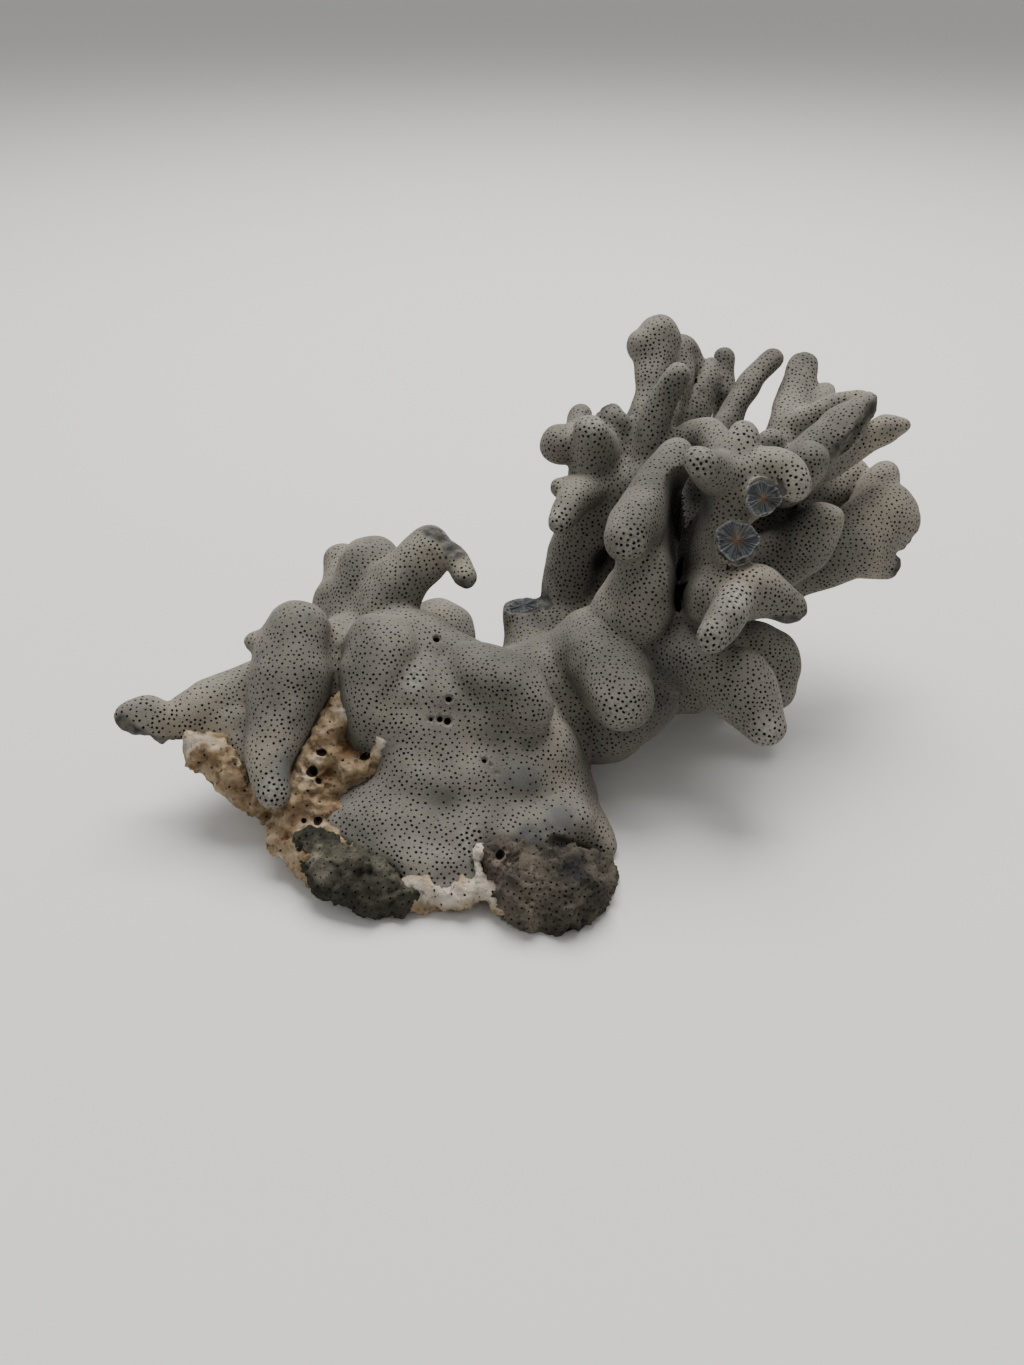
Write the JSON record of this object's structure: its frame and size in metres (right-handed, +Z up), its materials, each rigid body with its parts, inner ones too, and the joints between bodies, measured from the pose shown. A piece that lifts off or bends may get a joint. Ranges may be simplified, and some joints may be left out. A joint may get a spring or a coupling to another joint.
{
  "type": "branching coral specimen",
  "caption": "Blue-coral type colony of blunt, porous branches and lobes grown over a piece of bored reef rock, cut flat below.",
  "frame": {"origin": "a point on the flat sole under the mound, where the rock was cut from the reef", "axes": "+Z up from the sole, +X towards the fan of branches at the right, -Y towards the front, where the mound's crust faces"},
  "size_m": [0.2222, 0.1564, 0.1077],
  "materials": {
    "coral_skin": "matte, porous",
    "reef_rock": "matte, rough",
    "old_coral": "matte, rough",
    "old_crust": "matte, rough"
  },
  "bodies": {
    "root": {"reef_rock": "reef_rock", "old_coral_knob": "old_coral", "old_crust_ledge": "old_crust", "hooked_horn": "coral_skin", "back_left_lobes": "coral_skin", "left_wing": "coral_skin", "left_column": "coral_skin", "lower_right_finger": "coral_skin", "rear_foot": "coral_skin", "front_fork": "coral_skin", "middle_fork": "coral_skin", "front_fan": "coral_skin", "side_fan": "coral_skin", "back_fingers": "coral_skin", "ridge_branch": "coral_skin", "knobbed_branch": "coral_skin", "left_branch": "coral_skin", "lower_trunk": "coral_skin", "main_mound": "coral_skin"}
  },
  "joints": []
}
